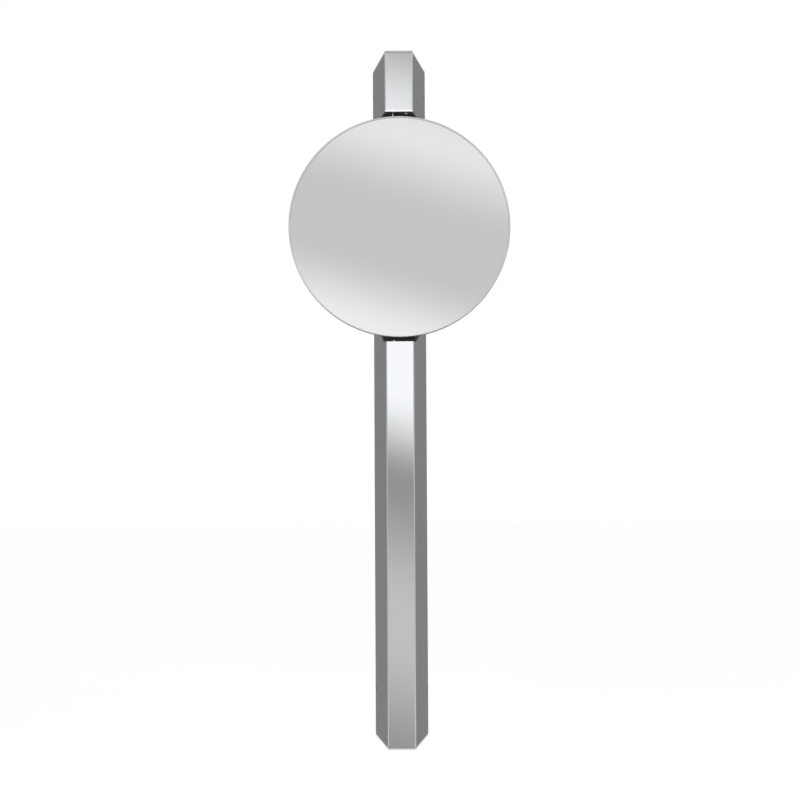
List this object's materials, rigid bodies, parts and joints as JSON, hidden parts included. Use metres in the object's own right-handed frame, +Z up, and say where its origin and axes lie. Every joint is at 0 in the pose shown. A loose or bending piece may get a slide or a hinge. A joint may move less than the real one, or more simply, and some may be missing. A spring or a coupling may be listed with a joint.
{
  "type": "extendable shaving mirror",
  "caption": "Round shaving mirror that swivels and tilts on a folding scissor arm, which packs away in a recess of a tall wall bar with a polished front strip",
  "frame": {"origin": "on the wall face, at the middle of the bar's height and width", "axes": "+Z up along the bar, -Y out of the wall towards the user, +X to the user's right when facing the mirror"},
  "size_m": [0.2214, 0.0798, 0.7],
  "materials": {
    "anodised": "satin anodised, fine brushed along the length",
    "polished": "mirror polished strip",
    "cap": "satin anodised",
    "steel": "brushed stainless steel",
    "chrome": "polished chrome",
    "back_shell": "satin painted back shell",
    "black_metal": "black powder coat",
    "black_plastic": "black moulded plastic",
    "nylon": "natural nylon",
    "mirror_glass": "silvered mirror glass"
  },
  "bodies": {
    "bar": {"bar_profile": "anodised", "front_strip_upper": "polished", "front_strip_lower": "polished", "end_cap_top": "cap", "end_cap_bottom": "cap", "cap_screw_top": "steel", "cap_screw_bottom": "steel", "wall_plate": "steel", "recess_block_upper": "black_plastic", "recess_block_lower": "black_plastic", "stop_pin_upper": "chrome", "stop_pin_lower": "chrome", "block_screw_upper": "chrome", "block_screw_lower": "chrome", "arm_housing": "black_metal", "housing_screw_lower": "steel", "housing_screw_upper": "steel", "rear_pivot_pin": "steel"},
    "arm_a1": {"link_a1_left": "steel", "link_a1_right": "steel", "pivot_spacer_left": "nylon", "pivot_spacer_right": "nylon", "centre_pin_rear": "chrome", "joint_pin_upper": "chrome"},
    "arm_b1": {"link_b1_left": "steel", "link_b1_right": "steel", "centre_spacer_rear": "nylon", "joint_pin_lower": "chrome", "joint_spacer_lower": "nylon", "rear_slide_pin": "steel", "rear_slide_bush_left": "nylon", "rear_slide_bush_right": "nylon"},
    "arm_a2": {"link_a2_left": "steel", "link_a2_right": "steel", "front_slide_pin": "steel", "front_slide_bush_left": "nylon", "front_slide_bush_right": "nylon"},
    "arm_b2": {"link_b2_left": "steel", "link_b2_right": "steel", "centre_pin_front": "chrome", "centre_spacer_front": "nylon", "joint_spacer_upper": "nylon", "front_pivot_spacer_left": "nylon", "front_pivot_spacer_right": "nylon"},
    "bracket": {"mirror_bracket": "steel", "front_pivot_pin": "steel", "swivel_pin_upper": "chrome", "swivel_pin_lower": "chrome"},
    "cross": {"cross_block": "black_plastic", "tilt_pin_left": "chrome", "tilt_pin_right": "chrome"},
    "mirror": {"mirror_hub": "steel", "mirror_back": "back_shell", "hub_screw_1": "steel", "hub_screw_2": "steel", "hub_screw_3": "steel", "mirror_glass": "mirror_glass", "mirror_rim": "chrome"}
  },
  "joints": [
    {"name": "arm_extend", "type": "hinge", "parent": "bar", "child": "arm_a1", "pos_m": [0, -0.0118, 0.087], "axis": [1, 0, 0], "range_deg": [0, 65.6]},
    {"name": "arm_cross_rear", "type": "hinge", "parent": "arm_a1", "child": "arm_b1", "pos_m": [0, -0.01878, 0.17773], "axis": [1, 0, 0], "range_deg": [-131.2, 0]},
    {"name": "arm_joint_upper", "type": "hinge", "parent": "arm_a1", "child": "arm_b2", "pos_m": [0, -0.02576, 0.26846], "axis": [1, 0, 0], "range_deg": [-131.2, 0]},
    {"name": "arm_joint_lower", "type": "hinge", "parent": "arm_b1", "child": "arm_a2", "pos_m": [0, -0.02576, 0.087], "axis": [1, 0, 0], "range_deg": [0, 131.2]},
    {"name": "bracket_pivot", "type": "hinge", "parent": "arm_b2", "child": "bracket", "pos_m": [0, -0.03973, 0.087], "axis": [1, 0, 0], "range_deg": [0, 65.6]},
    {"name": "mirror_swivel", "type": "hinge", "parent": "bracket", "child": "cross", "pos_m": [0, -0.058, 0.1711], "axis": [0, 0, 1], "range_deg": [-25, 25]},
    {"name": "mirror_tilt", "type": "hinge", "parent": "cross", "child": "mirror", "pos_m": [0, -0.058, 0.1711], "axis": [1, 0, 0], "range_deg": [-11, 5]}
  ],
  "couplings": [
    {"joint": "arm_cross_rear", "follows": "arm_extend", "ratio": -2},
    {"joint": "arm_joint_upper", "follows": "arm_extend", "ratio": -2},
    {"joint": "arm_joint_lower", "follows": "arm_extend", "ratio": 2},
    {"joint": "bracket_pivot", "follows": "arm_extend", "ratio": 1}
  ]
}
